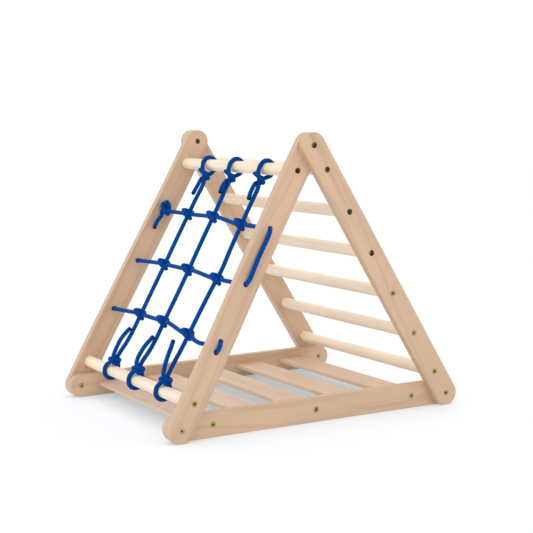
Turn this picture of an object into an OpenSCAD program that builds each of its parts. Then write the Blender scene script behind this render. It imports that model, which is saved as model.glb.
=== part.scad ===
/* [Triangle] */
// Distance between the two foot bolts of one side
foot_span = 612; // [500:1:740]
// Overall width across the ladder legs
overall_w = 568; // [460:1:690]
// Width of every frame board
board_w = 51; // [44:1:62]
// Thickness of every frame board
board_t = 18; // [15:0.5:22]

/* [Ladder] */
// Distance from one rung to the next, along the leg
rung_pitch = 100; // [83:1:120]
// Distance from a leg's bolt to its nearest rung, along the leg
rung_end = 57; // [54:1:68]
// Diameter of the rungs and of the two net dowels
dowel_d = 25; // [20:0.5:30]

/* [Net legs] */
// Length of leg that stays flat at its head and its foot
flat_end = 71; // [62:1:84]
// Length over which the board curves into and out of its slant
bend_len = 90; // [60:1:130]

/* [Floor slats] */
// Width of one slat
slat_w = 67; // [60:1:88]
// Thickness of one slat
slat_t = 9; // [8:0.5:14]
// Distance from a foot bolt to the middle of its nearest slat
slat_end = 75; // [62:1:90]
// Radius of a slat's long edges
slat_edge_r = 3; // [1:0.5:3.5]

/* [Rope net] */
// Diameter of the rope
rope_d = 9; // [6:0.5:10]
// Diameter of the holes that the rope is threaded through
rope_hole_d = 11; // [9.5:0.5:12]
// Chamfer round both mouths of a rope hole
rope_hole_chamfer = 1.5; // [1:0.5:2.5]
// How far the row of holes lies outward of the leg's centreline
rope_hole_v = 3; // [0:0.5:6]

/* [Fasteners] */
// Diameter of every bolt, nut and screw head
head_d = 12; // [9:0.5:14]
// Thickness of every bolt, nut and screw head
head_t = 2.4; // [2:0.1:3]
// Width of the hexagonal socket across its flats
socket_af = 4; // [3:0.5:5]
// Depth of the hexagonal socket
socket_depth = 1.6; // [1:0.1:1.8]
// Diameter of a joint bolt's shank
bolt_d = 6; // [5:0.5:6.5]
// Outer diameter of a sleeve nut's barrel
sleeve_d = 8; // [7.5:0.5:8.5]
// Diameter of a wood screw's shank
screw_d = 5; // [4:0.5:6]
// Length of a wood screw, head included
screw_len = 50; // [38:1:60]
// Diameter of the pins that hold the slats without screws
pin_d = 6; // [5:0.5:7]
// Length of those pins, half of it in the rail
pin_len = 24; // [18:1:28]
// Distance between the two pins in one end of a slat
pin_gap = 50; // [36:1:54]
// Radial clearance round bolts, screws and pins in their holes
fit_gap = 0.1; // [0.05:0.05:0.3]

/* [Hidden] */

rung_count = 6;
slat_count = 5;
leg_len = 2 * rung_end + (rung_count - 1) * rung_pitch;
lean = acos(foot_span / 2 / leg_len);
foot_z = board_w / 2;
apex_z = foot_z + leg_len * sin(lean);
slat_pitch = (foot_span - 2 * slat_end) / (slat_count - 1);
half_w = overall_w / 2;
// The boards lie in two layers; these are the outer faces of the inner layer and its inner faces
layer_y = half_w - board_t;
inside_y = half_w - 2 * board_t;
net_top_s = rung_end;
net_bottom_s = leg_len - rung_end;
// Room left past a tip or an end in its blind hole
tip_gap = 1;
// Oversize of a cutting tool past the face that it starts from
cut = 1;
round_fn = 64;

// Rope holes: distances along the leg from the apex bolt, in the order of the threading
near_holes = [186, 306, 428, 450];
far_holes = [178, 305, 426];
far_end_hole = 158;
rope_gap = 0.4;
rope_sides = 8;
// Places of the three upright ropes across the frame
rope_y = [123, -4, -140];
// Centreline radius of a rope that wraps a dowel in steps
wrap_steps = 6;
wrap_step = 45;
wrap_r = (dowel_d / 2 + rope_d / 2 + rope_gap) / cos(wrap_step / 2);
// How far the two ends of a wrap lie apart along the dowel
wrap_shift = rope_d + 1;
// Distance of the upright ropes from the legs' centreline, just clear of the cross rope
upright_v = rope_hole_v + rope_d + rope_gap;
// Distance of the rope's outer runs from the board's face, and their furthest reach
run_off = rope_d / 2 + rope_gap;
run_reach = half_w + 2.2;

ply = "#dcb886";
dowel_wood = "#e2bf8d";
slat_wood = "#d8b280";
rope_blue = "#1f3f9a";
zinc = "#a98f4d";
pin_wood = "#d9bd92";

function unit(v) = v / norm(v);

function slat_x(i) = (i - (slat_count - 1) / 2) * slat_pitch;

// Share of one board's thickness that the net leg has moved outward, u past its flat head
function rise(u, span) =
    let (slope = board_t / (span - bend_len))
    u <= 0 ? 0
    : u >= span ? board_t
    : u < bend_len ? slope * u * u / (2 * bend_len)
    : u > span - bend_len ? board_t - slope * (span - u) * (span - u) / (2 * bend_len)
    : slope * (u - bend_len / 2);

// Distance of the net leg's outer and inner face from the frame's middle plane
function net_out(s) = layer_y + rise(s - flat_end, leg_len - 2 * flat_end);
function net_in(s) = net_out(s) - board_t;

// Puts x along the leg from its apex bolt, y square to it and z across the frame
module on_leg(is_net) {
    translate([0, 0, apex_z])
        rotate([0, is_net ? 180 - lean : lean, 0])
            rotate([-90, 0, 0])
                children();
}

// Moves to the point s along a leg's centreline, in the frame's middle
module at_leg(is_net, s) {
    side = is_net ? -1 : 1;
    translate([side * s * cos(lean), 0, apex_z - s * sin(lean)]) children();
}

module front_and_back() {
    children();
    mirror([0, 1, 0]) children();
}

// Stands children on the front side's plane at depth y, their +z pointing to the middle
module from_front(y) {
    translate([0, -y, 0]) rotate([-90, 0, 0]) children();
}

// Stands children on the front side's plane at depth y, their +z pointing to the outside
module from_inside(y) {
    translate([0, -y, 0]) rotate([90, 0, 0]) children();
}

// Board outline with round ends, from one bolt to the other
module board_outline(length) {
    circle(d = board_w, $fn = round_fn);
    translate([0, -board_w / 2]) square([length, board_w]);
    translate([length, 0]) circle(d = board_w, $fn = round_fn);
}

// Straight hole from the local origin along +z
module hole(d, depth) {
    translate([0, 0, -cut]) cylinder(d = d, h = depth + cut, $fn = round_fn);
}

// Stepped hole for a head that is flush with the face at z = 0
module head_hole(shank, depth) {
    hole(head_d + 2 * fit_gap, head_t);
    hole(shank + 2 * fit_gap, depth);
}

// Flush head with a hexagonal socket, its face at z = 0 and its shank side along +z
module socket_head() {
    difference() {
        cylinder(d = head_d, h = head_t, $fn = round_fn);
        translate([0, 0, -cut])
            cylinder(d = socket_af / cos(30), h = socket_depth + cut, $fn = 6);
    }
}

module bolt() {
    socket_head();
    translate([0, 0, head_t])
        cylinder(d = bolt_d, h = 2 * board_t - 2 * head_t - tip_gap, $fn = round_fn);
}

module sleeve_nut() {
    socket_head();
    translate([0, 0, head_t])
        difference() {
            cylinder(d = sleeve_d, h = board_t - head_t - tip_gap, $fn = round_fn);
            hole(bolt_d + 2 * fit_gap, board_t);
        }
}

module wood_screw() {
    tip_len = screw_d;
    socket_head();
    translate([0, 0, head_t])
        cylinder(d = screw_d, h = screw_len - head_t - tip_len, $fn = round_fn);
    translate([0, 0, screw_len - tip_len])
        cylinder(d1 = screw_d, d2 = screw_d / 3, h = tip_len, $fn = round_fn);
}

// Front leg of the ladder side, in the outer layer along its whole length
module ladder_leg() {
    color(ply)
        on_leg(false)
            difference() {
                translate([0, 0, -half_w]) linear_extrude(board_t) board_outline(leg_len);
                for (s = [0, leg_len])
                    translate([s, 0, -half_w]) head_hole(bolt_d, board_t + cut);
                for (i = [0:rung_count - 1])
                    translate([rung_end + i * rung_pitch, 0, -half_w])
                        head_hole(screw_d, board_t + cut);
            }
}

// Side view of the bent net leg: inner layer at its head, outer layer at its foot
module net_leg_band() {
    steps = 6;
    bend_end = leg_len - flat_end - bend_len;
    run = concat(
        [-board_w],
        [for (i = [0:steps]) flat_end + bend_len * i / steps],
        [for (i = [0:steps]) bend_end + bend_len * i / steps],
        [leg_len + board_w]);
    outer = [for (s = run) [s, -net_out(s)]];
    inner = [for (i = [len(run) - 1:-1:0]) [run[i], -net_in(run[i])]];
    polygon(concat(outer, inner));
}

// Chamfered hole across the whole thickness of the net leg at s
module rope_hole(s) {
    wide = rope_hole_d / 2 + rope_hole_chamfer;
    translate([s, rope_hole_v, -half_w]) hole(rope_hole_d, 2 * board_t + cut);
    translate([s, rope_hole_v, -net_out(s)])
        cylinder(r1 = wide, r2 = wide - rope_hole_chamfer, h = rope_hole_chamfer, $fn = round_fn);
    translate([s, rope_hole_v, -net_in(s) - rope_hole_chamfer])
        cylinder(r1 = wide - rope_hole_chamfer, r2 = wide, h = rope_hole_chamfer, $fn = round_fn);
}

// Front leg of the net side, with its rope holes
module net_leg(rope_holes) {
    color(ply)
        on_leg(true)
            difference() {
                intersection() {
                    translate([0, 0, -half_w - cut])
                        linear_extrude(2 * board_t + 2 * cut) board_outline(leg_len);
                    translate([0, board_w, 0])
                        rotate([90, 0, 0])
                            linear_extrude(2 * board_w) net_leg_band();
                }
                translate([0, 0, -inside_y])
                    rotate([180, 0, 0])
                        head_hole(sleeve_d, board_t + cut);
                translate([leg_len, 0, -half_w]) head_hole(bolt_d, board_t + cut);
                translate([net_top_s, 0, -layer_y]) head_hole(screw_d, board_t + cut);
                translate([net_bottom_s, 0, -half_w]) head_hole(screw_d, board_t + cut);
                for (s = rope_holes)
                    rope_hole(s);
            }
}

// Front rail between the two feet, in the inner layer
module base_rail() {
    color(ply)
        translate([0, 0, foot_z])
            difference() {
                from_inside(inside_y)
                    linear_extrude(board_t)
                        translate([-foot_span / 2, 0]) board_outline(foot_span);
                for (side = [-1, 1])
                    translate([side * foot_span / 2, 0, 0])
                        from_inside(inside_y) head_hole(sleeve_d, board_t + cut);
                for (i = [0:2:slat_count - 1])
                    translate([slat_x(i), 0, 0])
                        from_front(layer_y) head_hole(screw_d, board_t + cut);
                for (i = [1:2:slat_count - 1])
                    for (side = [-1, 1])
                        translate([slat_x(i) + side * pin_gap / 2, 0, 0])
                            from_inside(inside_y) pin_hole();
            }
}

module pin_hole() {
    hole(pin_d + 2 * fit_gap, (pin_len + tip_gap) / 2);
}

// Pilot hole in each end of a piece that reaches half_len to both sides
module pilot_holes(half_len) {
    front_and_back()
        from_front(half_len)
            hole(screw_d + 2 * fit_gap, screw_len - board_t + tip_gap);
}

// Round bar across the frame
module cross_dowel(half_len) {
    color(dowel_wood)
        difference() {
            rotate([90, 0, 0])
                cylinder(d = dowel_d, h = 2 * half_len, center = true, $fn = round_fn);
            pilot_holes(half_len);
        }
}

module rung(i) {
    at_leg(false, rung_end + i * rung_pitch) cross_dowel(layer_y);
}

module net_dowel_top() {
    at_leg(true, net_top_s) cross_dowel(net_in(net_top_s));
}

module net_dowel_bottom() {
    at_leg(true, net_bottom_s) cross_dowel(net_in(net_bottom_s));
}

module slat_section() {
    for (side = [-1, 1])
        for (up = [-1, 1])
            translate([side * (slat_w / 2 - slat_edge_r), up * (slat_t / 2 - slat_edge_r)])
                circle(r = slat_edge_r, $fn = round_fn);
    square([slat_w - 2 * slat_edge_r, slat_t], center = true);
    square([slat_w, slat_t - 2 * slat_edge_r], center = true);
}

// Every second slat, from the first, is screwed through the rails and the others sit on pins
module floor_slat(i) {
    color(slat_wood)
        translate([slat_x(i), 0, foot_z])
            difference() {
                rotate([90, 0, 0])
                    linear_extrude(2 * inside_y, center = true) slat_section();
                if (i % 2 == 0)
                    pilot_holes(inside_y);
                else
                    for (side = [-1, 1])
                        translate([side * pin_gap / 2, 0, 0])
                            front_and_back() from_front(inside_y) pin_hole();
            }
}

// Tube along route; flat is a direction that the route never runs along
module rope(route, flat) {
    last = len(route) - 1;
    legs = [for (i = [0:last - 1]) unit(route[i + 1] - route[i])];
    along = [for (i = [0:last]) unit(legs[max(i - 1, 0)] + legs[min(i, last - 1)])];
    points = [for (i = [0:last]) for (k = [0:rope_sides - 1])
        let (
            turn = 360 * (k + 0.5) / rope_sides,
            across = unit(cross(along[i], flat)),
            up = cross(across, along[i]))
        route[i] + rope_d / 2 * (cos(turn) * across + sin(turn) * up)];
    sides = [for (i = [0:last - 1]) for (k = [0:rope_sides - 1])
        let (a = i * rope_sides, b = a + rope_sides, next = (k + 1) % rope_sides)
        [a + k, b + k, b + next, a + next]];
    start_cap = [[for (k = [0:rope_sides - 1]) k]];
    end_cap = [[for (k = [rope_sides - 1:-1:0]) last * rope_sides + k]];
    color(rope_blue)
        on_leg(true)
            polyhedron(points = points, faces = concat(sides, start_cap, end_cap), convexity = 10);
}

// Wrap round the dowel at s from its outward side, over its lower (1) or upper (-1) side
function wrap(s, y, way, shift) = [for (i = [0:wrap_steps])
    let (a = way * wrap_step * i)
    [s + wrap_r * sin(a), wrap_r * cos(a), y + shift * i / wrap_steps]];

// Upright rope: short end, wrap round the lower dowel, run, wrap round the upper dowel, short end
module net_rope(y) {
    rope(concat(
        [[net_bottom_s - 101, upright_v, y + 22], [net_bottom_s - 57, upright_v + 3, y + 16]],
        wrap(net_bottom_s, y + wrap_shift, 1, -wrap_shift),
        [[net_bottom_s - 34, upright_v + 1, y], [near_holes[2], upright_v, y]],
        [[near_holes[0], upright_v, y]],
        wrap(net_top_s, y, -1, wrap_shift),
        [[net_top_s + 37, upright_v - 5, y + 11], [net_top_s + 74, upright_v - 2, y + 14]]),
        [0, 0, 1]);
}

// Point of the cross rope at s, d off the net leg's outer face on side -1 or 1
function outside(side, s, d) = [s, rope_hole_v, side * (net_out(s) + d)];
function through(side, s) = [[s, rope_hole_v, side * net_in(s)], outside(side, s, 0)];
function back(points) = [for (i = [len(points) - 1:-1:0]) points[i]];

// The one long rope that is threaded through both net legs, from the back leg to the front leg
module cross_rope() {
    bend = 5;
    rope(concat(
        [[226, 0, net_in(226) - 5], [204, -5, net_in(204) - 8], [180, -7, net_in(180) - 10]],
        [[165, -3, net_in(165) - 9], [far_end_hole, rope_hole_v, net_in(far_end_hole) - 4]],
        through(1, far_end_hole),
        [outside(1, far_end_hole + bend, run_off), outside(1, far_holes[0] - bend, run_off)],
        back(through(1, far_holes[0])),
        through(-1, near_holes[0]),
        [outside(-1, near_holes[0] + bend, run_off), outside(-1, near_holes[1] - bend, run_off)],
        back(through(-1, near_holes[1])),
        through(1, far_holes[1]),
        [outside(1, far_holes[1] + bend, run_off)],
        [[far_holes[2] - bend, rope_hole_v, run_reach]],
        back(through(1, far_holes[2])),
        through(-1, near_holes[2]),
        [outside(-1, near_holes[2] + bend, run_off)],
        [[(near_holes[2] + near_holes[3]) / 2, rope_hole_v, -run_reach]],
        [outside(-1, near_holes[3] - bend, run_off)],
        back(through(-1, near_holes[3])),
        [[near_holes[3], rope_hole_v, -net_in(near_holes[3]) + 14]]),
        [0, 1, 0]);
}

module apex_bolts() {
    color(zinc)
        front_and_back() translate([0, 0, apex_z]) from_front(half_w) bolt();
}

module foot_bolts() {
    color(zinc)
        for (side = [-1, 1])
            translate([side * foot_span / 2, 0, foot_z])
                front_and_back() from_front(half_w) bolt();
}

module sleeve_nuts() {
    color(zinc)
        for (place = [[0, apex_z], [-foot_span / 2, foot_z], [foot_span / 2, foot_z]])
            translate([place[0], 0, place[1]])
                front_and_back() from_inside(inside_y) sleeve_nut();
}

module rung_screws() {
    color(zinc)
        for (i = [0:rung_count - 1])
            at_leg(false, rung_end + i * rung_pitch)
                front_and_back() from_front(half_w) wood_screw();
}

module net_dowel_screws() {
    color(zinc)
        for (s = [net_top_s, net_bottom_s])
            at_leg(true, s)
                front_and_back() from_front(net_out(s)) wood_screw();
}

module slat_screws() {
    color(zinc)
        for (i = [0:2:slat_count - 1])
            translate([slat_x(i), 0, foot_z])
                front_and_back() from_front(layer_y) wood_screw();
}

module slat_pins() {
    color(pin_wood)
        for (i = [1:2:slat_count - 1])
            for (side = [-1, 1])
                translate([slat_x(i) + side * pin_gap / 2, 0, foot_z])
                    front_and_back()
                        from_front(inside_y + pin_len / 2)
                            cylinder(d = pin_d, h = pin_len, $fn = round_fn);
}

ladder_leg();  // ladder_leg_front
mirror([0, 1, 0]) ladder_leg();  // ladder_leg_back
net_leg(near_holes);  // net_leg_front
mirror([0, 1, 0]) net_leg(concat(far_holes, [far_end_hole]));  // net_leg_back
base_rail();  // base_rail_front
mirror([0, 1, 0]) base_rail();  // base_rail_back
rung(0);  // rung_1
rung(1);  // rung_2
rung(2);  // rung_3
rung(3);  // rung_4
rung(4);  // rung_5
rung(5);  // rung_6
net_dowel_top();
net_dowel_bottom();
floor_slat(0);  // floor_slat_1
floor_slat(1);  // floor_slat_2
floor_slat(2);  // floor_slat_3
floor_slat(3);  // floor_slat_4
floor_slat(4);  // floor_slat_5
net_rope(rope_y[0]);  // net_rope_1
net_rope(rope_y[1]);  // net_rope_2
net_rope(rope_y[2]);  // net_rope_3
cross_rope();
apex_bolts();
foot_bolts();
sleeve_nuts();
rung_screws();
net_dowel_screws();
slat_screws();
slat_pins();
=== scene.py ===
import math

import bmesh
import bpy
from bpy.props import FloatProperty, FloatVectorProperty, IntProperty, PointerProperty
from bpy.types import Operator, Panel, PropertyGroup
from mathutils import Matrix, Vector


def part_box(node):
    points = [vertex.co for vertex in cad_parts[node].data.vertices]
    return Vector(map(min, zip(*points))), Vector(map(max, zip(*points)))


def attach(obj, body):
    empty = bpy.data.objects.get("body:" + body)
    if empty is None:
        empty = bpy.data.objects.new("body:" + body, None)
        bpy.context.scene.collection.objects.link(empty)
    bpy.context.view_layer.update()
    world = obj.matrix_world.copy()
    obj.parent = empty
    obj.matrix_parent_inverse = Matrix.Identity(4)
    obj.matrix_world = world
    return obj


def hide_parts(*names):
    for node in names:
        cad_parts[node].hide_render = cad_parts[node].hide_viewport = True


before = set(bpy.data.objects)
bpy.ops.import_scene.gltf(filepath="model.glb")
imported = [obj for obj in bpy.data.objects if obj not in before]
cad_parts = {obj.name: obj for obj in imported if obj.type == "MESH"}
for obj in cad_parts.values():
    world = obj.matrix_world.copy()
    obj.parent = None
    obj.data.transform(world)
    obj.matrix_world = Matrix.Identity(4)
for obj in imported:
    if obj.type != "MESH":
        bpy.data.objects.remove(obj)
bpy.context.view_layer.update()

bl_info = {
    "name": "Climbing Triangle",
    "version": (1, 0, 0),
    "blender": (4, 5, 0),
    "location": "View3D > Sidebar > Climbing Triangle",
    "description": "Boards, rungs, slats, rope net and fasteners of a toddler's climbing triangle",
    "category": "Object",
}

MM = 0.001

# ---------------------------------------------------------------- the frame's own measures

RAIL_LOW, RAIL_HIGH = (Vector(corner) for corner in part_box("base_rail_front"))
LEG_LOW, LEG_HIGH = (Vector(corner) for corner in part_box("ladder_leg_front"))
DOWEL_LOW, DOWEL_HIGH = (Vector(corner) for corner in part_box("net_dowel_bottom"))
BOARD_W = RAIL_HIGH.z - RAIL_LOW.z
BOARD_T = RAIL_HIGH.y - RAIL_LOW.y
HALF_W = -LEG_LOW.y
FOOT_SPAN = RAIL_HIGH.x - RAIL_LOW.x - BOARD_W
FOOT_Z = BOARD_W / 2
APEX_Z = LEG_HIGH.z - BOARD_W / 2
LEG_LEN = math.hypot(FOOT_SPAN / 2, APEX_Z - FOOT_Z)
LEAN_COS = FOOT_SPAN / 2 / LEG_LEN
LEAN_SIN = (APEX_Z - FOOT_Z) / LEG_LEN
DOWEL_D = DOWEL_HIGH.z - DOWEL_LOW.z
RUNGS = ["rung_%d" % (i + 1) for i in range(6)]
NET_DOWELS = ["net_dowel_top", "net_dowel_bottom"]
SLATS = ["floor_slat_%d" % (i + 1) for i in range(5)]


def net_point(s, v, y):
    """Point of the net side, in metres: s down the leg from the apex bolt, v outward, y across."""
    return Vector((-s * LEAN_COS - v * LEAN_SIN, y, APEX_Z - s * LEAN_SIN + v * LEAN_COS))


def net_place(point):
    """The reverse of net_point."""
    down = APEX_Z - point.z
    return Vector(
        (-point.x * LEAN_COS + down * LEAN_SIN, -point.x * LEAN_SIN - down * LEAN_COS, point.y)
    )


def ladder_place(point):
    """The same measures on the ladder side, whose legs are the net side's mirrored in x."""
    return net_place(Vector((-point.x, point.y, point.z)))


def rail_place(point):
    """The same kind of measures on a base rail: along it, up from its middle, and across."""
    return Vector((point.x + FOOT_SPAN / 2, point.z - FOOT_Z, point.y))


TOP_LOW, TOP_HIGH = (Vector(corner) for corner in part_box("net_dowel_top"))
NET_TOP_S = net_place((TOP_LOW + TOP_HIGH) / 2).x
NET_BOTTOM_S = net_place((DOWEL_LOW + DOWEL_HIGH) / 2).x
# The net legs stay flat for FLAT_END from each bolt and curve over BEND_LEN into their slant
FLAT_END = 0.071
BEND_LEN = 0.090


def net_leg_out(s):
    """Distance of the net leg's outer face from the middle plane."""
    u, span = s - FLAT_END, LEG_LEN - 2 * FLAT_END
    slope = BOARD_T / (span - BEND_LEN)
    if u <= 0:
        out = 0
    elif u >= span:
        out = BOARD_T
    elif u < BEND_LEN:
        out = slope * u * u / (2 * BEND_LEN)
    elif u > span - BEND_LEN:
        out = BOARD_T - slope * (span - u) ** 2 / (2 * BEND_LEN)
    else:
        out = slope * (u - BEND_LEN / 2)
    return HALF_W - BOARD_T + out


def net_leg_in(s):
    return net_leg_out(s) - BOARD_T


# ---------------------------------------------------------------- settings


class WoodSettings(PropertyGroup):
    """Edges and colours of the wooden pieces."""

    board_edge: FloatProperty(
        name="Board edge radius", description="Rounding of the boards' long edges",
        default=0.0028, min=0.0, max=0.006, unit="LENGTH",
    )
    hole_edge: FloatProperty(
        name="Hole edge radius", description="Rounding of the rims of bolt and rope holes",
        default=0.0004, min=0.0, max=0.001, unit="LENGTH",
    )
    slat_edge: FloatProperty(
        name="Slat edge radius", description="Rounding of the slats' long edges",
        default=0.003, min=0.0, max=0.0045, unit="LENGTH",
    )
    board_tint: FloatVectorProperty(
        name="Board colour", description="Face veneer of the plywood boards",
        default=(0.62, 0.42, 0.277), min=0, max=1, subtype="COLOR",
    )
    dowel_tint: FloatVectorProperty(
        name="Rung colour", description="Round bars",
        default=(0.92, 0.77, 0.60), min=0, max=1, subtype="COLOR",
    )
    slat_tint: FloatVectorProperty(
        name="Slat colour", description="Floor slats",
        default=(0.72, 0.51, 0.36), min=0, max=1, subtype="COLOR",
    )


class RopeSettings(PropertyGroup):
    """Thickness, braid and colour of the rope."""

    diameter: FloatProperty(
        name="Diameter", description="Rope diameter over the braid",
        default=0.009, min=0.006, max=0.010, unit="LENGTH",
    )
    relief: FloatProperty(
        name="Braid relief", description="Depth of the grooves between the braid's strands",
        default=0.0004, min=0.0, max=0.0006, unit="LENGTH",
    )
    pitch: FloatProperty(
        name="Braid pitch", description="Length of rope over which the braid repeats",
        default=0.0075, min=0.004, max=0.02, unit="LENGTH",
    )
    sides: IntProperty(
        name="Sides", description="Points round the rope's section", default=24, min=12, max=32,
    )
    tint: FloatVectorProperty(
        name="Rope colour", description="Braided cover",
        default=(0.0003, 0.070, 0.345), min=0, max=1, subtype="COLOR",
    )


class MetalSettings(PropertyGroup):
    """Colours of the bolts, nuts and screws."""

    low_tint: FloatVectorProperty(
        name="Zinc colour", description="Yellow passivated zinc",
        default=(0.34, 0.36, 0.09), min=0, max=1, subtype="COLOR",
    )
    # Painted reflection: the bolts at the feet are painted reddish for the reflection they show
    foot_reflection_tint: FloatVectorProperty(
        name="Foot bolt colour", description="Reddish finish of the bolts at the feet",
        default=(0.50, 0.36, 0.27), min=0, max=1, subtype="COLOR",
    )
    # Painted reflection: the heads towards the apex are painted dark bronze for the reflection they show
    apex_reflection_tint: FloatVectorProperty(
        name="Bronze colour", description="Darker finish of the fasteners near the apex",
        default=(0.035, 0.026, 0.018), min=0, max=1, subtype="COLOR",
    )


class StageSettings(PropertyGroup):
    """Floor, lights and camera."""

    floor_size: FloatProperty(
        name="Floor size", description="Edge length of the floor", default=14.0, min=4,
        max=40, unit="LENGTH",
    )
    floor_tint: FloatVectorProperty(
        name="Floor colour", description="Plain pale floor", default=(0.78, 0.69, 0.67), min=0,
        max=1, subtype="COLOR",
    )
    floor_glow: FloatProperty(
        name="Floor glow", description="Own light of the floor, as of a lit table", default=0.33,
        min=0, max=2,
    )
    key_power: FloatProperty(
        name="Key light", description="Power of the main soft light in watts", default=9, min=0,
        max=2000,
    )
    fill_power: FloatProperty(
        name="Fill light", description="Power of the second soft light in watts", default=3,
        min=0, max=2000,
    )
    sky: FloatProperty(
        name="Sky", description="Strength of the light from all round", default=1.09, min=0, max=5,
    )
    lens: FloatProperty(
        name="Lens", description="Focal length on a 36 mm wide sensor", default=96.69, min=20,
        max=200, unit="CAMERA",
    )


SETTINGS = {
    "wood": WoodSettings, "rope": RopeSettings, "metal": MetalSettings, "stage": StageSettings,
}


def setting(group):
    return getattr(bpy.context.scene, "triangle_" + group)


# ---------------------------------------------------------------- node materials


class Nodes:
    """A material's node tree, with short calls that add and link its nodes."""

    def __init__(self, name):
        self.material = bpy.data.materials.new(name)
        self.material.use_nodes = True
        self.tree = self.material.node_tree
        self.shader = self.tree.nodes["Principled BSDF"]

    def add(self, kind, **values):
        made = self.tree.nodes.new(kind)
        for key, value in values.items():
            setattr(made, key, value)
        return made

    def link(self, source, target):
        self.tree.links.new(source, target)

    def feed(self, socket, value):
        if isinstance(value, bpy.types.NodeSocket):
            self.link(value, socket)
        else:
            socket.default_value = value

    def math(self, operation, a, b=0.0):
        made = self.add("ShaderNodeMath", operation=operation)
        self.feed(made.inputs[0], a)
        self.feed(made.inputs[1], b)
        return made.outputs[0]

    def smooth(self, value, low, high):
        """0 below low and 1 above high, with a soft step between."""
        made = self.add("ShaderNodeMapRange", interpolation_type="SMOOTHSTEP")
        self.feed(made.inputs["Value"], value)
        made.inputs["From Min"].default_value = low
        made.inputs["From Max"].default_value = high
        return made.outputs["Result"]

    def attribute(self, name, output="Vector"):
        return self.add("ShaderNodeAttribute", attribute_name=name).outputs[output]

    def object_place(self):
        return self.add("ShaderNodeTexCoord").outputs["Object"]

    def split(self, vector):
        made = self.add("ShaderNodeSeparateXYZ")
        self.link(vector, made.inputs[0])
        return made.outputs

    def scaled(self, vector, scale):
        made = self.add("ShaderNodeMapping")
        made.inputs["Scale"].default_value = scale
        self.link(vector, made.inputs["Vector"])
        return made.outputs["Vector"]

    def noise(self, vector, detail=3.0, rough=0.5, distortion=0.0):
        """Noise at the vector's own scale."""
        made = self.add("ShaderNodeTexNoise")
        self.link(vector, made.inputs["Vector"])
        made.inputs["Scale"].default_value = 1.0
        made.inputs["Detail"].default_value = detail
        made.inputs["Roughness"].default_value = rough
        made.inputs["Distortion"].default_value = distortion
        return made.outputs["Fac"]

    def mix(self, factor, first, second):
        made = self.add("ShaderNodeMix", data_type="RGBA")
        self.feed(made.inputs["Factor"], factor)
        for socket, value in ((made.inputs["A"], first), (made.inputs["B"], second)):
            if not isinstance(value, bpy.types.NodeSocket):
                value = tuple(value) + (1.0,)
            self.feed(socket, value)
        return made.outputs["Result"]

    def bump(self, height, distance, strength):
        made = self.add("ShaderNodeBump")
        made.inputs["Distance"].default_value = distance
        made.inputs["Strength"].default_value = strength
        self.link(height, made.inputs["Height"])
        return made.outputs["Normal"]


PLY_LAYERS = 6.5
SEALED_TIP = (0.004, 0.008, 0.03)
# Painted shade: near black for the inside of the hexagonal sockets
SOCKET_PAINTED_SHADE = (0.012, 0.010, 0.008)
GLOW_TINT = (0.50, 0.85, 1.0, 1.0)


def shade(colour, factor):
    """The colour made lighter or darker."""
    return tuple(min(1.0, c * factor) for c in colour)


def wood(name, tint, figure, rings, ply=False):
    """Lacquered wood whose grain follows the piece's own attribute "grain": along, across, deep.

    figure is the strength of the rings' lines and rings is how many cross one metre. Plywood also
    shows its layers, by the attribute "layer": how deep in the board, and how far edge-on.
    """
    n = Nodes(name)
    grain = n.attribute("grain")
    fibre = n.noise(n.scaled(grain, (14, 420, 420)), detail=5, rough=0.6)
    streak = n.noise(n.scaled(grain, (2.2, 55, 55)), detail=3, rough=0.55, distortion=0.4)
    cloud = n.noise(n.scaled(grain, (5, 16, 16)), detail=2)
    bend = n.noise(n.scaled(grain, (1.6, 9, 9)), detail=1)
    across = n.split(grain)[1]
    ring_place = n.math("ADD", n.math("MULTIPLY", across, rings), n.math("MULTIPLY", bend, 3.4))
    ring_wave = n.math("SINE", n.math("MULTIPLY", ring_place, math.tau))
    ring = n.smooth(ring_wave, 0.55, 1.0)
    light = n.mix(n.smooth(cloud, 0.3, 0.75), shade(tint, 1.05), shade(tint, 0.93))
    dark = n.mix(n.smooth(streak, 0.52, 0.78), light, shade(tint, 0.80))
    lined = n.mix(n.math("MULTIPLY", ring, 0.22 * figure), dark, shade(tint, 0.62))
    colour = n.mix(n.math("MULTIPLY", n.smooth(fibre, 0.56, 0.75), 0.28), lined, shade(tint, 0.66))
    height = n.math("ADD", n.math("MULTIPLY", fibre, 0.6), n.math("MULTIPLY", streak, 0.4))
    if ply:
        layer = n.split(n.attribute("layer"))
        step = n.math("FRACT", n.math("MULTIPLY", layer[0], PLY_LAYERS))
        edge_on = n.smooth(layer[1], 0.4, 0.7)
        band = n.smooth(n.math("ABSOLUTE", n.math("SUBTRACT", step, 0.5)), 0.18, 0.26)
        glue = n.smooth(n.math("ABSOLUTE", n.math("SUBTRACT", band, 0.5)), 0.5, 0.2)
        veneer = n.mix(band, shade(tint, 0.84), shade(tint, 1.13))
        veneer = n.mix(n.math("MULTIPLY", glue, 0.35), veneer, shade(tint, 0.55))
        veneer = n.mix(n.math("MULTIPLY", n.smooth(fibre, 0.5, 0.8), 0.35), veneer, shade(tint, 0.75))
        colour = n.mix(edge_on, colour, veneer)
    n.link(colour, n.shader.inputs["Base Color"])
    n.link(n.math("ADD", n.math("MULTIPLY", streak, 0.14), 0.40), n.shader.inputs["Roughness"])
    n.link(n.bump(height, 0.00025, 0.35), n.shader.inputs["Normal"])
    n.shader.inputs["Specular IOR Level"].default_value = 0.38
    n.shader.inputs["Coat Weight"].default_value = 0.08
    n.shader.inputs["Coat Roughness"].default_value = 0.35
    return n.material


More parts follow.
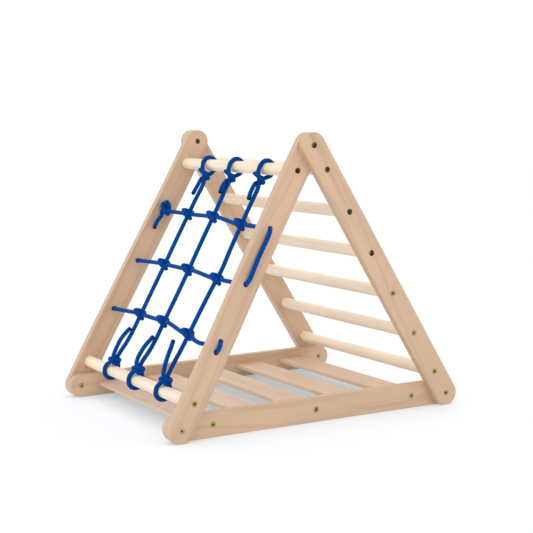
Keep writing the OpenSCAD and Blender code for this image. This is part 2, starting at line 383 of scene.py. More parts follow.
def rope_material():
    """Braided polypropylene cover; its UV map runs round the rope and along it."""
    n = Nodes("rope_braid")
    tint = tuple(setting("rope").tint)
    groove = n.attribute("groove", "Fac")
    tip = n.attribute("tip", "Fac")
    uv = n.add("ShaderNodeUVMap", uv_map="rope").outputs["UV"]
    yarn = n.noise(n.scaled(uv, (60, 900, 1)), detail=3, rough=0.6)
    cloud = n.noise(n.scaled(uv, (3, 12, 1)), detail=2)
    body = n.mix(n.smooth(cloud, 0.3, 0.7), shade(tint, 0.92), shade(tint, 1.12))
    yarned = n.mix(n.math("MULTIPLY", yarn, 0.4), body, shade(tint, 0.62))
    # Painted shade: the grooves between the braid's strands are painted darker
    groove_painted_shade = n.mix(n.smooth(groove, 0.4, 1.0), yarned, shade(tint, 0.24))
    colour = n.mix(tip, groove_painted_shade, SEALED_TIP)
    n.link(colour, n.shader.inputs["Base Color"])
    n.link(n.math("ADD", n.math("MULTIPLY", yarn, 0.2), 0.42), n.shader.inputs["Roughness"])
    n.link(n.bump(yarn, 0.00015, 0.5), n.shader.inputs["Normal"])
    n.shader.inputs["Specular IOR Level"].default_value = 0.03
    return n.material


def fastener_material():
    """Plated steel: yellow zinc, with a painted dark bronze reflection towards the apex, a painted reddish
    reflection at the feet and painted shade in the sockets.
    """
    n = Nodes("fastener_zinc")
    settings = setting("metal")
    place = n.object_place()
    cloud = n.noise(n.scaled(place, (220, 220, 220)), detail=3)
    scratch = n.noise(n.scaled(place, (900, 300, 2600)), detail=4, rough=0.7)
    low, high = tuple(settings.low_tint), tuple(settings.apex_reflection_tint)
    # Painted reflection: heads above about 0.3 m get the dark apex colour (high) in place of the zinc
    plating_and_painted_reflection = n.mix(n.smooth(n.split(place)[2], 0.24, 0.32), low, high)
    # Painted reflection: the bolts at the feet, far out along x, get the reddish colour
    at_foot = n.smooth(n.math("ABSOLUTE", n.split(place)[0]), 0.28, 0.29)
    plating_and_painted_reflection = n.mix(at_foot, plating_and_painted_reflection, tuple(settings.foot_reflection_tint))
    stained = n.mix(n.smooth(cloud, 0.4, 0.75), plating_and_painted_reflection, shade(low, 0.55))
    # Painted shade: points deep in a socket are painted near black
    colour = n.mix(n.attribute("socket", "Fac"), stained, SOCKET_PAINTED_SHADE)
    n.link(colour, n.shader.inputs["Base Color"])
    n.shader.inputs["Metallic"].default_value = 0.85
    n.link(n.math("ADD", n.math("MULTIPLY", cloud, 0.25), 0.28), n.shader.inputs["Roughness"])
    n.link(n.bump(scratch, 0.00008, 0.4), n.shader.inputs["Normal"])
    return n.material


def floor_material():
    """Pale matt studio floor with a barely visible mottle."""
    n = Nodes("studio_floor")
    tint = tuple(setting("stage").floor_tint)
    mottle = n.noise(n.scaled(n.object_place(), (1.5, 1.5, 1.5)), detail=3)
    n.link(n.mix(mottle, shade(tint, 0.985), shade(tint, 1.01)), n.shader.inputs["Base Color"])
    n.shader.inputs["Roughness"].default_value = 0.85
    n.shader.inputs["Specular IOR Level"].default_value = 0.15
    n.shader.inputs["Emission Color"].default_value = GLOW_TINT
    n.shader.inputs["Emission Strength"].default_value = setting("stage").floor_glow
    return n.material


_made = {}


def material(name):
    """Each material is made once, from the settings."""
    tints = setting("wood")
    makers = {
        "board": lambda: wood("birch_plywood", tuple(tints.board_tint), 1.0, 26.0, ply=True),
        "dowel": lambda: wood("turned_beech", tuple(tints.dowel_tint), 0.5, 110.0),
        "slat": lambda: wood("planed_pine", tuple(tints.slat_tint), 0.6, 55.0),
        "pin": lambda: wood("dowel_pin", tuple(tints.dowel_tint), 0.4, 300.0),
        "rope": rope_material,
        "fastener": fastener_material,
        "floor": floor_material,
    }
    if name not in _made:
        _made[name] = makers[name]()
    return _made[name]


# ---------------------------------------------------------------- modelling helpers


def only(obj):
    """Leaves obj as the one selected and active object."""
    for other in list(bpy.context.selected_objects):
        other.select_set(False)
    if obj is not None:
        obj.select_set(True)
        bpy.context.view_layer.objects.active = obj


def clothe(piece, material_name):
    piece.data.materials.clear()
    piece.data.materials.append(material(material_name))


def finish_piece(piece, slot, *nodes):
    """Dresses a piece, ties it to the frame and hides the CAD nodes that it stands for."""
    clothe(piece, slot)
    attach(piece, "root")
    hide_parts(*nodes)
    only(None)
    return piece


def store(piece, name, kind, values):
    """Writes a point attribute: one value, or one triple, for each vertex."""
    attribute = piece.data.attributes.new(name, kind, "POINT")
    if kind == "FLOAT":
        attribute.data.foreach_set("value", values)
    else:
        attribute.data.foreach_set("vector", [c for value in values for c in value])


def set_grain(piece, place, shift):
    """Stores where each point lies in the wood: along, across and deep, moved by shift."""
    values = []
    for vertex in piece.data.vertices:
        along, across, deep = place(vertex.co)
        values.append((along + shift, across + shift * 0.37, deep + shift * 0.61))
    store(piece, "grain", "FLOAT_VECTOR", values)


def merged_copy(node, name):
    """A piece with a CAD node's shape, its loose triangles merged into clean faces."""
    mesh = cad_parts[node].data.copy()
    mesh.name = name
    piece = bpy.data.objects.new(name, mesh)
    bpy.context.collection.objects.link(piece)
    only(piece)
    bpy.ops.object.mode_set(mode="EDIT")
    bpy.ops.mesh.select_all(action="SELECT")
    bpy.ops.mesh.remove_doubles(threshold=0.000005)
    bpy.ops.mesh.dissolve_limited(angle_limit=math.radians(0.6))
    bpy.ops.object.mode_set(mode="OBJECT")
    if piece.data.has_custom_normals:
        bpy.ops.mesh.customdata_custom_splitnormals_clear()
    return piece


def ease_edges(piece, width_at, widest, segments):
    """Rounds every sharp edge by the width that width_at gives for both of its ends."""
    mesh = piece.data
    shape = bmesh.new()
    shape.from_mesh(mesh)
    layer = shape.edges.layers.float.new("bevel_weight_edge")
    sharp = math.radians(28)
    for edge in shape.edges:
        if len(edge.link_faces) == 2 and edge.calc_face_angle() > sharp:
            width = min(width_at(vertex.co) for vertex in edge.verts)
            edge[layer] = width / widest
    shape.to_mesh(mesh)
    shape.free()
    only(piece)
    bpy.ops.object.shade_smooth()
    bevel = piece.modifiers.new("eased", "BEVEL")
    bevel.limit_method = "WEIGHT"
    bevel.width = widest
    bevel.segments = segments
    bevel.harden_normals = True
    bevel.use_clamp_overlap = True
    bpy.ops.object.modifier_apply(modifier=bevel.name)


# ---------------------------------------------------------------- rope


# Barry and Goldman's scheme for a Catmull-Rom curve: which two knots each blend lies between
BLENDS = (((0, 1), (1, 2), (2, 3)), ((0, 2), (1, 3)), ((1, 2),))


def curve_point(corners, knots, t):
    """The point at t of the curve that runs from the second of four corners to the third."""
    for spans in BLENDS:
        corners = [
            corners[k].lerp(corners[k + 1], (t - knots[low]) / (knots[high] - knots[low]))
            for k, (low, high) in enumerate(spans)
        ]
    return corners[0]


def smooth_line(points, step):
    """A smooth curve through points (Catmull-Rom, centripetal), with points about step apart."""
    ends = [2 * points[0] - points[1]] + points + [2 * points[-1] - points[-2]]
    dense = []
    for corners in zip(ends, ends[1:], ends[2:], ends[3:]):
        knots = [0.0]
        for a, b in zip(corners, corners[1:]):
            knots.append(knots[-1] + max((b - a).length, 1e-6) ** 0.5)
        count = max(2, int((corners[2] - corners[1]).length / (step * 0.5)))
        for i in range(count):
            dense.append(curve_point(corners, knots, knots[1] + (knots[2] - knots[1]) * i / count))
    dense.append(points[-1])
    return even(dense, step)


def even(line, step):
    """The line again, with points equally far apart."""
    at = [0.0]
    for a, b in zip(line, line[1:]):
        at.append(at[-1] + (b - a).length)
    count = max(2, math.ceil(at[-1] / step))
    made, k = [], 0
    for i in range(count + 1):
        want = at[-1] * i / count
        while k < len(line) - 2 and at[k + 1] < want:
            k += 1
        share = (want - at[k]) / max(at[k + 1] - at[k], 1e-12)
        made.append(line[k].lerp(line[k + 1], min(max(share, 0.0), 1.0)))
    return made


def length_of(line):
    return sum((b - a).length for a, b in zip(line, line[1:]))


LINE_STEP = 0.0011
STRANDS = 4
TIP_LEN = 0.0035
TIP_FADE = 0.002


def rope_piece(name, line):
    """A braided rope along line: a closed tube whose relief, tips and UV map follow the braid."""
    settings = setting("rope")
    sides, radius = settings.sides, settings.diameter / 2
    count = len(line)
    along = [(line[min(i + 1, count - 1)] - line[max(i - 1, 0)]).normalized() for i in range(count)]
    across = along[0].orthogonal().normalized()
    at, total = 0.0, length_of(line)
    points, groove, tip, run = [], [], [], []
    for i, centre in enumerate(line):
        if i:
            turn = along[i - 1].rotation_difference(along[i])
            across = turn @ across
            across = (across - across.dot(along[i]) * along[i]).normalized()
            at += (centre - line[i - 1]).length
        third = along[i].cross(across)
        end = min(at, total - at)
        close = 1 - (1 - min(end / (radius * 0.9), 1.0)) ** 2
        sealed = 1.0 - min(max((end - TIP_LEN) / TIP_FADE, 0.0), 1.0)
        run.append(at)
        phase = math.tau * at / settings.pitch
        for k in range(sides):
            a = math.tau * k / sides
            left, right = math.sin(STRANDS * a + phase), math.sin(STRANDS * a - phase)
            sunk = 1 - math.sqrt(abs(left * right))
            out = radius * (0.45 + 0.55 * math.sqrt(max(close, 0.0)))
            out += settings.relief * (0.35 - sunk) * (1 - sealed)
            points.append(centre + (across * math.cos(a) + third * math.sin(a)) * out)
            groove.append(sunk)
            tip.append(sealed)
    faces = []
    for i in range(count - 1):
        for k in range(sides):
            a, b = i * sides + k, i * sides + (k + 1) % sides
            faces.append((a, b, b + sides, a + sides))
    faces.append(tuple(reversed(range(sides))))
    faces.append(tuple(range((count - 1) * sides, count * sides)))
    mesh = bpy.data.meshes.new(name)
    mesh.from_pydata([tuple(p) for p in points], [], faces)
    uv = mesh.uv_layers.new(name="rope")
    turn_len = math.tau * radius
    for polygon in mesh.polygons:
        for corner, loop in zip(range(len(polygon.vertices)), polygon.loop_indices):
            vertex = mesh.loops[loop].vertex_index
            k = vertex % sides
            if corner in (1, 2) and k == 0:
                k = sides
            uv.data[loop].uv = (run[vertex // sides], turn_len * k / sides)
    piece = bpy.data.objects.new(name, mesh)
    bpy.context.collection.objects.link(piece)
    store(piece, "groove", "FLOAT", groove)
    store(piece, "tip", "FLOAT", tip)
    only(piece)
    bpy.ops.object.shade_smooth()
    return piece


# The knots are laid out as they are seen from the front left of the net, where their turns
# show: to the right, up, and towards the onlooker
SEEN_RIGHT = Vector((0.881, -0.472, -0.027))
SEEN_UP = Vector((0.080, 0.091, 0.993))
SEEN_NEAR = Vector((-0.466, -0.877, 0.118))

# The three upright ropes: their length in metres and then, in millimetres down the leg and across
# the frame, the middle of the upper and lower knots, how far to the side the rope goes round each
# dowel, the line between them, and the free ends as seen from the middle of their knot
COLUMNS = [
    {
        "length": 0.97, "top": (82, 116.5), "over_top": -14, "bottom": (536.6, 125), "under_bottom": -10.5,
        "line": [
            (102, 114.5), (150, 116), (178, 116), (235, 117), (300, 116.5), (360, 117.5),
            (421, 118), (466, 119),
        ],
        "upper_tail": [(-9.5, -14, 0), (-13.5, -22, 3), (-19.5, -33, 4), (-27, -46, 4)],
        "approach": (6, 5.5, 4.5, 1),
        "lower_tail": [
            (-1.4, 11.5, 7), (1.6, 22, 3.4), (7, 35, 0), (12.5, 46, -2), (23.5, 60.5, -3), (34.5, 72, -4),
        ],
    },
    {
        "length": 0.96, "top": (81.7, -8), "over_top": -7, "bottom": (536.5, -4.3), "under_bottom": -6,
        "line": [
            (104, -2), (125, -3), (150, -4), (176, -5), (235, -5), (300, -7), (360, -7.3),
            (405, -6), (423, -5.8), (466, -5.5),
        ],
        "upper_tail": [(-9.8, -12.5, 1), (-13.8, -18, 4), (-18.6, -27, 5), (-22.3, -38.5, 5)],
        "approach": (1, 0, 0, 0),
        "lower_tail": [
            (-2.4, 10.8, 7), (-1, 23.5, 3.4), (6, 38, 0), (16, 53, -2), (25, 63, -3), (32, 71.5, -4),
        ],
    },
    {
        "length": 0.97, "top": (81.3, -141), "over_top": -3, "bottom": (537, -143.9), "under_bottom": -6,
        "line": [
            (104, -142), (122, -142.3), (150, -142), (184, -143.5), (235, -145), (286, -149),
            (307, -147), (345, -142.5), (405, -138.5), (432, -137.5), (470, -134.6),
        ],
        "upper_tail": [(-10, -13, 1), (-14.5, -21, 4), (-19.8, -33, 5), (-23, -46, 5)],
        "approach": (-8, -3.5, -1, 0),
        "lower_tail": [(-3.4, 11.5, 7), (-1.1, 31, 4), (5.7, 53.4, 2), (11.5, 69, 0), (16.2, 83, -2)],
    },
]
ROW_KNOTS = [
    [(178, 117), (176.5, -4.5), (184.5, -140.5)],
    [(300.5, 119), (300.8, -4), (307, -148)],
    [(421, 121), (421.5, -1), (432, -134)],
]
# In millimetres, how far outward of the legs' centreline the ropes, their knots and holes lie
UPRIGHT_V = 2.0
ROW_V = 2.5
KNOT_V = 8.0
HOLE_V = 3.0
# In millimetres, the rope's middle off a leg's outer face, and the gap between rope and dowel
FACE_OFF = 4.8
DOWEL_GAP = 0.2
# Sine of 45 degrees, for the points half-way round each quarter of a turn round a dowel
SLANT = 0.71
# The rope holes, in millimetres down the near and the far leg
NEAR_HOLES = [186, 306, 428, 450]
FAR_HOLES = [178, 305, 426]
FAR_END_HOLE = 158
CROSS_ROPE_LEN = 2.86

# The cross rope goes one and a half times round each upright rope, from the far to the near side
ROW_HITCH = [
    (-9.6, 1.6, -16), (-7.6, -1, -10.8), (-2.8, -5.2, -9.4), (2.8, -8.9, -5), (4.4, -10.2, 0.5),
    (3.6, -8, 6), (0, -3, 9.4), (-5, 2.6, 8.8), (-9, 7, 5.2), (-10, 8.6, 0), (-6, 8.4, -6),
    (0.6, 6.4, -9.4), (7, 4.4, -6.4), (9.4, 2, -1), (8.7, 0, 5), (8.3, -1.3, 11), (9.6, -1.8, 17),
]
# An upper knot, from the free end's side to the strand that comes from behind the dowel
UPPER_HITCH = [
    (-6.8, -10.6, -4.6), (-2.5, -9.6, -8.4), (4, -10.2, -5.8), (7.4, -10, 0), (6.2, -8, 6),
    (2, -3.4, 9.4), (-3.6, 2.6, 9), (-8.6, 7.4, 5.2), (-10.2, 8.8, -1), (-6.6, 6.6, -7.4),
    (0, 2.2, -9.8), (7, -1, -11.4), (12.8, 1, -17),
]
# A lower knot, from the strand that comes from behind the dowel to the free end's side
LOWER_HITCH = [
    (6.8, -7, -13), (7.4, -5.6, -4.6), (5.2, -5.8, 4.2), (0, -3.8, 9.2), (-5.6, 1, 8.4),
    (-9.4, 4.2, 3.2), (-9.6, 5, -3.2), (-4.6, 5.6, -8.4), (3, 5, -9.4), (9, 3.6, -5.8),
    (10.4, 1.2, 0.6), (7.2, 1.4, 6.9), (2.2, 4.6, 9.6),
]


def seen_from(base, steps):
    """Points given to the right, up and towards the onlooker of base, in millimetres."""
    return [base + (r * SEEN_RIGHT + u * SEEN_UP + w * SEEN_NEAR) * MM for r, u, w in steps]


def upright_route(column):
    """Points of one upright rope from its upper end to its lower end, in metres."""
    route = []

    def put(knot, steps):
        for right, up, v in steps:
            route.append(net_point((knot[0] - up) * MM, v * MM, (knot[1] - right) * MM))

    top, bottom = column["top"], column["bottom"]
    wrap = (DOWEL_D + setting("rope").diameter) / MM / 2 + DOWEL_GAP
    slant = SLANT * wrap
    over, side = top[0] - NET_TOP_S / MM, column["over_top"]
    middle = net_point(top[0] * MM, KNOT_V * MM, top[1] * MM)
    route += seen_from(middle, column["upper_tail"][::-1] + UPPER_HITCH)
    back = side - 3
    put(top, [(back, over - 8, -wrap + 1.6), (back, over, -wrap), (back, over + slant, -slant)])
    put(top, [(side - 2, over + wrap, 0), (side, over + slant, slant), (side, over, wrap)])
    put(top, [(0.7 * side, over - 8, wrap), (0.35 * side, 9.5, wrap - 0.6), (0.1 * side, 3, 13)])
    put(top, [(0.5, -4, 8), (0.5, -12, 4.2)])
    for s, y in column["line"]:
        route.append(net_point(s * MM, UPRIGHT_V * MM, y * MM))
    under, side = bottom[0] - NET_BOTTOM_S / MM, column["under_bottom"]
    put(bottom, zip(column["approach"], (44, 26, 12, 3), (4.2, 7, 8.5, 10.5)))
    put(bottom, [(0.4 * side, -5, 14)])
    put(bottom, [(0.8 * side, -13, wrap - 0.4), (side, under, wrap), (side, under - slant, slant)])
    put(bottom, [(side - 1, under - wrap, 0), (side - 2, under - slant, -slant)])
    put(bottom, [(side - 3.5, under, -wrap), (side - 5, under + 9, -wrap + 2.6)])
    middle = net_point(bottom[0] * MM, KNOT_V * MM, bottom[1] * MM)
    route += seen_from(middle, LOWER_HITCH + column["lower_tail"])
    return route


def cross_route():
    """Points of the long rope that is threaded through both net legs, in metres."""
    route = []

    def put(s, v, y):
        route.append(net_point(s * MM, v * MM, y * MM))

    def inner(s):
        return net_leg_in(s * MM) / MM

    def outer(s, side, off):
        return side * (net_leg_out(s * MM) / MM + off)

    def across_row(row, from_far):
        turns = []
        for s, y in ROW_KNOTS[row]:
            turns.append(net_point(s * MM, (ROW_V - 0.5) * MM, (y + 27) * MM))
            turns += seen_from(net_point(s * MM, ROW_V * MM, y * MM), ROW_HITCH)
            turns.append(net_point(s * MM, (ROW_V - 0.5) * MM, (y - 28) * MM))
        route.extend(turns if from_far else turns[::-1])

    def outside(first, last, side):
        """Out of one hole, along the leg's outer face and in through the next."""
        middle = (first + last) / 2
        put(first, HOLE_V, side * (inner(first) - 3))
        put(first + 1, HOLE_V, outer(first, side, -5))
        put(first + 2.8, HOLE_V, outer(first, side, 0.6))
        put(first + 9, HOLE_V, outer(first, side, FACE_OFF))
        put(middle, HOLE_V + 0.6, outer(middle, side, FACE_OFF))
        put(last - 9, HOLE_V, outer(last, side, FACE_OFF))
        put(last - 2.8, HOLE_V, outer(last, side, 0.6))
        put(last - 1, HOLE_V, outer(last, side, -5))
        put(last, HOLE_V, side * (inner(last) - 3))

    # the free end and the knot on the far leg's inner face: right, up and off that face
    row, end = FAR_HOLES[0], FAR_END_HOLE
    base = net_point(row * MM, HOLE_V * MM, inner(row) * MM)
    for r, u, off in (
        (-19, -42.6, 5.5), (-16.5, -33.3, 6), (-9.8, -21.7, 8), (-5, -15.5, 9), (-1.8, -9.6, 8),
        (-2.6, -5, 6), (2, -4.6, 5.2), (6.6, -1.5, 5), (8, 5, 5), (7.2, 11, 5.4), (4.6, 15.6, 7.5),
        (0.4, 13.2, 8.5), (-0.5, 7.4, 9.5), (2.7, 1, 15), (7.4, -5.4, 24), (11, -9.2, 23),
        (13.2, -8, 18), (14, -0.8, 14.5), (14.4, 5.5, 12.5), (13.6, 12, 10.5), (11, 17, 6.5),
    ):
        near = -(off + r * SEEN_RIGHT.y + u * SEEN_UP.y) / SEEN_NEAR.y
        route.extend(seen_from(base, [(r, u, near)]))
    put(end, HOLE_V, inner(end) + 2)
    put(end, HOLE_V, outer(end, 1, -5))
    put(end + 1, HOLE_V, outer(end, 1, 1))
    put(end + 6, HOLE_V, outer(end, 1, 5))
    put(row - 6, HOLE_V, outer(row, 1, 5))
    put(row - 1, HOLE_V, outer(row, 1, 1))
    put(row, HOLE_V, outer(row, 1, -5))
    put(row, HOLE_V, inner(row) - 3)
    across_row(0, True)
    outside(NEAR_HOLES[0], NEAR_HOLES[1], -1)
    across_row(1, False)
    outside(FAR_HOLES[1], FAR_HOLES[2], 1)
    across_row(2, True)
    # from the last knot it hangs slack to the near leg, so the row's level point is left out
    route.pop()
    third, last = NEAR_HOLES[2:]
    put(437, 3, -163)
    put(442, 4, -197)
    put(440, 4, -228)
    put(third + 3, HOLE_V, 2 - inner(third))
    put(third + 1, HOLE_V, outer(third, -1, -6))
    put(third + 2.8, HOLE_V, outer(third, -1, 0.3))
    put(third + 8, HOLE_V + 0.5, outer(third, -1, FACE_OFF))
    put((third + last) / 2, HOLE_V + 1, -(HALF_W / MM + 2.2))
    put(last - 8, HOLE_V + 0.5, outer(last, -1, FACE_OFF))
    put(last - 2.8, HOLE_V, outer(last, -1, 0.3))
    put(last - 1, HOLE_V, outer(last, -1, -6))
    # inside the near leg the rope's stopper is one turn round itself, with its end not tucked in
    inside = -inner(last)
    for off, v in ((-2, 3), (4, 3), (9, 2), (14, 1)):
        put(last, v, inside + off)
    put(last + 5, 2, inside + 18.5)
    turn_radius, turn_step, turn_pitch = 9.2, math.radians(55), 2.1
    for i in range(6):
        down, out = turn_radius * math.cos(i * turn_step), turn_radius * math.sin(i * turn_step)
        put(last + down, 1 + out, inside + 17 - turn_pitch * i)
    put(last + 8, -12, inside + 6)
    put(last + 17, -14, inside + 6)
    put(last + 28, -13, inside + 7)
    return route


class TRIANGLE_OT_ropes(Operator):
    """Makes the three upright ropes and the cross rope of the net, knots and all"""

    bl_idname = "triangle.ropes"
    bl_label = "Rope Net"

    def execute(self, context):
        diameter = setting("rope").diameter
        ropes = [
            ("net_rope_%d" % (i + 1), upright_route(column), column["length"])
            for i, column in enumerate(COLUMNS)
        ]
        ropes.append(("cross_rope", cross_route(), CROSS_ROPE_LEN))
        for node, route, length in ropes:
            line = smooth_line(route, LINE_STEP)
            piece = rope_piece("blue_" + node, line)
            finish_piece(piece, "rope", node)
        return {"FINISHED"}


# ---------------------------------------------------------------- wooden pieces


# How far a point of a board's rim may lie inside the ideal outline
RIM_SLACK = 0.0006


def board(node, place, depth_at, shift):
    """A plywood board with rounded edges and eased holes, from its CAD solid.

    place turns a point into distances along, across and through the board, depth_at gives where
    the board's inner face lies at s along it, and shift picks another stretch of grain.
    """
    settings = setting("wood")
    piece = merged_copy(node, "birch_" + node)
    span = FOOT_SPAN if place is rail_place else LEG_LEN

    def width_at(point):
        s, v, _ = place(point)
        from_axis = math.hypot(v, max(-s, s - span, 0.0))
        return settings.board_edge if from_axis > BOARD_W / 2 - RIM_SLACK else settings.hole_edge

    ease_edges(piece, width_at, settings.board_edge, 4)
    set_grain(piece, place, shift)
    layers = []
    for vertex in piece.data.vertices:
        s, _, y = place(vertex.co)
        deep = (abs(y) - depth_at(s)) / BOARD_T
        layers.append((deep, 1.0 - abs(vertex.normal.y), 0.0))
    store(piece, "layer", "FLOAT_VECTOR", layers)
    return finish_piece(piece, "board", node)


class TRIANGLE_OT_boards(Operator):
    """Makes the ladder legs, the bent net legs and the base rails"""

    bl_idname = "triangle.boards"
    bl_label = "Boards"

    def execute(self, context):
        ladder_in = HALF_W - BOARD_T
        rail_in = ladder_in - BOARD_T
        for shift, side in ((0.0, "front"), (3.1, "back")):
            board("ladder_leg_" + side, ladder_place, lambda s: ladder_in, shift + 0.7)
            board("net_leg_" + side, net_place, net_leg_in, shift + 1.9)
            board("base_rail_" + side, rail_place, lambda s: rail_in, shift + 4.3)
        return {"FINISHED"}


BAR_SIDES = 72
BAR_EASE = 0.0005
PILOT_R = 0.0032
PILOT_DISH = 0.002


def round_bar(name, length):
    """A turned bar along Y in the origin, its ends slightly eased and dished round the pilot hole."""
    only(None)
    bpy.ops.mesh.primitive_cylinder_add(
        vertices=BAR_SIDES, radius=DOWEL_D / 2, depth=length, rotation=(math.pi / 2, 0, 0)
    )
    bar = bpy.context.active_object
    bar.name = bar.data.name = name
    bpy.ops.object.transform_apply(location=False, rotation=True, scale=True)
    bpy.ops.object.mode_set(mode="EDIT")
    bpy.ops.mesh.select_mode(type="FACE")
    shape = bmesh.from_edit_mesh(bar.data)
    for face in shape.faces:
        face.select_set(len(face.verts) > 4)
    bmesh.update_edit_mesh(bar.data)
    bpy.ops.mesh.inset(thickness=DOWEL_D / 2 - PILOT_R, depth=0)
    bpy.ops.mesh.inset(thickness=0.0006, depth=-PILOT_DISH)
    bpy.ops.object.mode_set(mode="OBJECT")

    def width_at(point):
        at_end = abs(point.y) > length / 2 - 1e-5
        at_rim = math.hypot(point.x, point.z) > DOWEL_D / 2 - BAR_EASE
        return BAR_EASE if at_end and at_rim else 0.0

    ease_edges(bar, width_at, BAR_EASE, 2)
    only(bar)
    bpy.ops.object.shade_smooth_by_angle(angle=math.radians(35))
    return bar


def moved_copy(source, name, offset):
    """A copy with its own mesh, moved inside the mesh so that its object stays at the origin."""
    piece = bpy.data.objects.new(name, source.data.copy())
    piece.data.name = name
    piece.data.transform(Matrix.Translation(offset))
    bpy.context.collection.objects.link(piece)
    return piece


class TRIANGLE_OT_bars(Operator):
    """Makes the ladder's rungs and the two dowels that the net is tied to"""

    bl_idname = "triangle.bars"
    bl_label = "Rungs and Net Dowels"

    def execute(self, context):
        masters = {}
        for index, node in enumerate(RUNGS + NET_DOWELS):
            low, high = (Vector(corner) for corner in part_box(node))
            length = round(high.y - low.y, 5)
            if length not in masters:
                masters[length] = round_bar("bar_master", length)
            middle = (low + high) / 2
            piece = moved_copy(masters[length], "round_" + node, middle)
            turn = 0.9 * index

            def place(point, middle=middle, turn=turn):
                away = point - middle
                return Vector(
                    (away.y, away.x * math.cos(turn) + away.z * math.sin(turn),
                     away.z * math.cos(turn) - away.x * math.sin(turn))
                )

            set_grain(piece, place, 1.7 * index)
            finish_piece(piece, "dowel", node)
        for master in masters.values():
            bpy.data.objects.remove(master)
        return {"FINISHED"}


# Rounding of a slat's end edges as a share of that of its long edges
SLAT_END_SHARE = 0.12


class TRIANGLE_OT_slats(Operator):
    """Makes the five floor slats with rounded long edges"""

    bl_idname = "triangle.slats"
    bl_label = "Floor Slats"

    def execute(self, context):
        low, high = (Vector(corner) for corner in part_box(SLATS[0]))
        only(None)
        bpy.ops.mesh.primitive_cube_add(size=1)
        master = bpy.context.active_object
        master.scale = high - low
        bpy.ops.object.transform_apply(location=False, rotation=False, scale=True)
        mesh = master.data
        shape = bmesh.new()
        shape.from_mesh(mesh)
        layer = shape.edges.layers.float.new("bevel_weight_edge")
        for edge in shape.edges:
            run = (edge.verts[0].co - edge.verts[1].co).normalized()
            edge[layer] = 1.0 if abs(run.y) > 0.9 else SLAT_END_SHARE
        shape.to_mesh(mesh)
        shape.free()
        only(master)
        bpy.ops.object.shade_smooth()
        bevel = master.modifiers.new("eased", "BEVEL")
        bevel.limit_method = "WEIGHT"
        bevel.width = setting("wood").slat_edge
        bevel.segments = 6
        bevel.harden_normals = True
        bpy.ops.object.modifier_apply(modifier=bevel.name)
        for index, node in enumerate(SLATS):
            low, high = (Vector(corner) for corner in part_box(node))
            middle = (low + high) / 2
            piece = moved_copy(master, "pine_" + node, middle)

            def place(point, middle=middle):
                away = point - middle
                return Vector((away.y, away.x, away.z))

            set_grain(piece, place, 2.3 * index + 0.4)
            finish_piece(piece, "slat", node)
        bpy.data.objects.remove(master)
        return {"FINISHED"}


# ---------------------------------------------------------------- fasteners


HEAD_EASE = 0.00025
PIN_EASE = 0.0004
# A hexagonal socket's reach from its axis, and the depths below the head's face that are in it
SOCKET_R = 0.00245
SOCKET_DEPTHS = (0.0002, 0.0022)


class TRIANGLE_OT_fasteners(Operator):
    """Makes the joint bolts, sleeve nuts and wood screws with eased heads and painted shade in their
    sockets
    """

    bl_idname = "triangle.fasteners"
    bl_label = "Fasteners"

    groups = (
        "apex_bolts", "foot_bolts", "sleeve_nuts", "rung_screws", "net_dowel_screws", "slat_screws",
    )

    def execute(self, context):
        for node in self.groups:
            piece = merged_copy(node, "plated_" + node)
            ease_edges(piece, lambda p: HEAD_EASE, HEAD_EASE, 2)
            self.mark_sockets(piece)
            finish_piece(piece, "fastener", node)
        return {"FINISHED"}

    @staticmethod
    def mark_sockets(piece):
        """Sets the attribute socket to 1 on points that lie deep in a head's hexagonal socket, where shade
        is painted.
        """
        mesh = piece.data
        shape = bmesh.new()
        shape.from_mesh(mesh)
        shape.verts.ensure_lookup_table()
        seen, dark = set(), [0.0] * len(shape.verts)
        for start in shape.verts:
            if start.index in seen:
                continue
            island, stack = [], [start]
            seen.add(start.index)
            while stack:
                vertex = stack.pop()
                island.append(vertex)
                for edge in vertex.link_edges:
                    other = edge.other_vert(vertex)
                    if other.index not in seen:
                        seen.add(other.index)
                        stack.append(other)
            xs, ys, zs = zip(*(v.co for v in island))
            mid_x, mid_z = (min(xs) + max(xs)) / 2, (min(zs) + max(zs)) / 2
            away = [math.hypot(x - mid_x, z - mid_z) for x, z in zip(xs, zs)]
            rim = [y for y, r in zip(ys, away) if r > max(away) - 1e-4]
            face = min(ys) if abs(min(rim) - min(ys)) < abs(max(rim) - max(ys)) else max(ys)
            for vertex, y, r in zip(island, ys, away):
                if r < SOCKET_R and SOCKET_DEPTHS[0] < abs(y - face) < SOCKET_DEPTHS[1]:
                    dark[vertex.index] = 1.0
        shape.free()
        store(piece, "socket", "FLOAT", dark)


class TRIANGLE_OT_pins(Operator):
    """Dresses the hidden wooden pins that hold two of the slats"""

    bl_idname = "triangle.pins"
    bl_label = "Slat Pins"

    def execute(self, context):
        piece = merged_copy("slat_pins", "beech_slat_pins")
        ease_edges(piece, lambda p: PIN_EASE, PIN_EASE, 2)
        set_grain(piece, lambda p: (p.y, p.x, p.z), 0.2)
        finish_piece(piece, "pin", "slat_pins")
        return {"FINISHED"}


# ---------------------------------------------------------------- stage


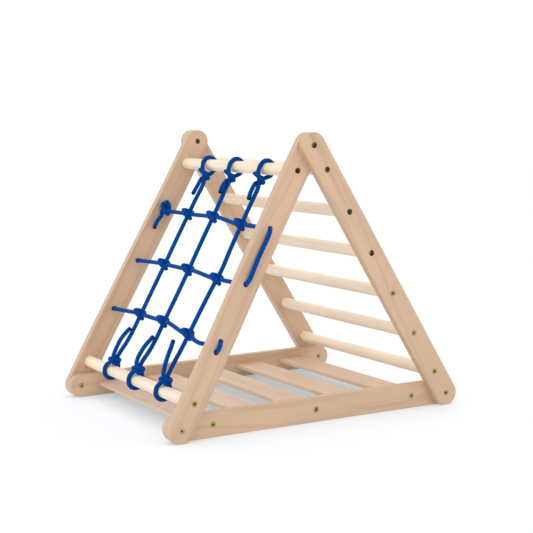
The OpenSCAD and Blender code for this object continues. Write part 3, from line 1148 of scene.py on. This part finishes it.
class TRIANGLE_OT_stage(Operator):
    """Sets the camera, the plain floor and the soft lights"""

    bl_idname = "triangle.stage"
    bl_label = "Stage"

    camera_at = (-1.4122, -2.7242, 0.6554)
    azimuth, elevation, roll = -28.019, 6.774, -1.573

    def execute(self, context):
        self.set_camera(context)
        self.set_floor(context)
        self.set_lights(context)
        return {"FINISHED"}

    def set_camera(self, context):
        azimuth, elevation, roll = (
            math.radians(a) for a in (self.azimuth, self.elevation, self.roll)
        )
        back = Vector(
            (
                math.sin(azimuth) * math.cos(elevation),
                -math.cos(azimuth) * math.cos(elevation),
                math.sin(elevation),
            )
        )
        right = (-back).cross(Vector((0, 0, 1))).normalized()
        up = back.cross(right)
        turned_right = math.cos(roll) * right + math.sin(roll) * up
        turned_up = -math.sin(roll) * right + math.cos(roll) * up
        lens = bpy.data.cameras.new("camera")
        lens.lens = setting("stage").lens
        lens.sensor_width = 36
        lens.clip_end = 60
        camera = bpy.data.objects.new("camera", lens)
        matrix = Matrix((turned_right, turned_up, back)).transposed().to_4x4()
        camera.matrix_world = Matrix.Translation(self.camera_at) @ matrix
        context.collection.objects.link(camera)
        context.scene.camera = camera

    def set_floor(self, context):
        only(None)
        bpy.ops.mesh.primitive_plane_add(size=setting("stage").floor_size)
        floor = bpy.context.active_object
        floor.name = "floor"
        clothe(floor, "floor")
        only(None)

    def set_lights(self, context):
        settings = setting("stage")
        for name, power, size, place in (
            ("key_light", settings.key_power, 2.6, (-2.6, -1.6, 3.2)),
            ("fill_light", settings.fill_power, 3.0, (2.4, -2.6, 2.2)),
        ):
            light = bpy.data.lights.new(name, "AREA")
            light.shape, light.size, light.energy = "DISK", size, power
            lamp = bpy.data.objects.new(name, light)
            lamp.location = place
            aim = Vector((0, 0, 0.25)) - lamp.location
            lamp.rotation_euler = aim.to_track_quat("-Z", "Y").to_euler()
            context.collection.objects.link(lamp)
        world = bpy.data.worlds.new("studio")
        world.use_nodes = True
        sky = world.node_tree.nodes["Background"]
        sky.inputs["Color"].default_value = (1.0, 1.0, 1.0, 1.0)
        sky.inputs["Strength"].default_value = settings.sky
        context.scene.world = world
        context.scene.view_settings.view_transform = "Standard"


# ---------------------------------------------------------------- sidebar


class TRIANGLE_PT_sidebar(Panel):
    """Lists the settings and one button for each group of pieces"""

    bl_idname = "TRIANGLE_PT_sidebar"
    bl_label = "Climbing Triangle"
    bl_space_type = "VIEW_3D"
    bl_region_type = "UI"
    bl_category = "Climbing Triangle"

    def draw(self, context):
        for group, kind in SETTINGS.items():
            box = self.layout.box()
            box.label(text=kind.__doc__)
            for name in kind.__annotations__:
                box.prop(setting(group), name)
        for operator in OPERATORS:
            self.layout.operator(operator.bl_idname)


OPERATORS = (
    TRIANGLE_OT_stage,
    TRIANGLE_OT_ropes,
    TRIANGLE_OT_boards,
    TRIANGLE_OT_bars,
    TRIANGLE_OT_slats,
    TRIANGLE_OT_fasteners,
    TRIANGLE_OT_pins,
)
CLASSES = tuple(SETTINGS.values()) + OPERATORS + (TRIANGLE_PT_sidebar,)


def register():
    for kind in CLASSES:
        bpy.utils.register_class(kind)
    for group, kind in SETTINGS.items():
        setattr(bpy.types.Scene, "triangle_" + group, PointerProperty(type=kind))


def unregister():
    for group in SETTINGS:
        delattr(bpy.types.Scene, "triangle_" + group)
    for kind in reversed(CLASSES):
        bpy.utils.unregister_class(kind)


def main():
    register()
    bpy.ops.triangle.stage()
    bpy.ops.triangle.ropes()
    bpy.ops.triangle.boards()
    bpy.ops.triangle.bars()
    bpy.ops.triangle.slats()
    bpy.ops.triangle.fasteners()
    bpy.ops.triangle.pins()


if __name__ == "__main__":
    main()
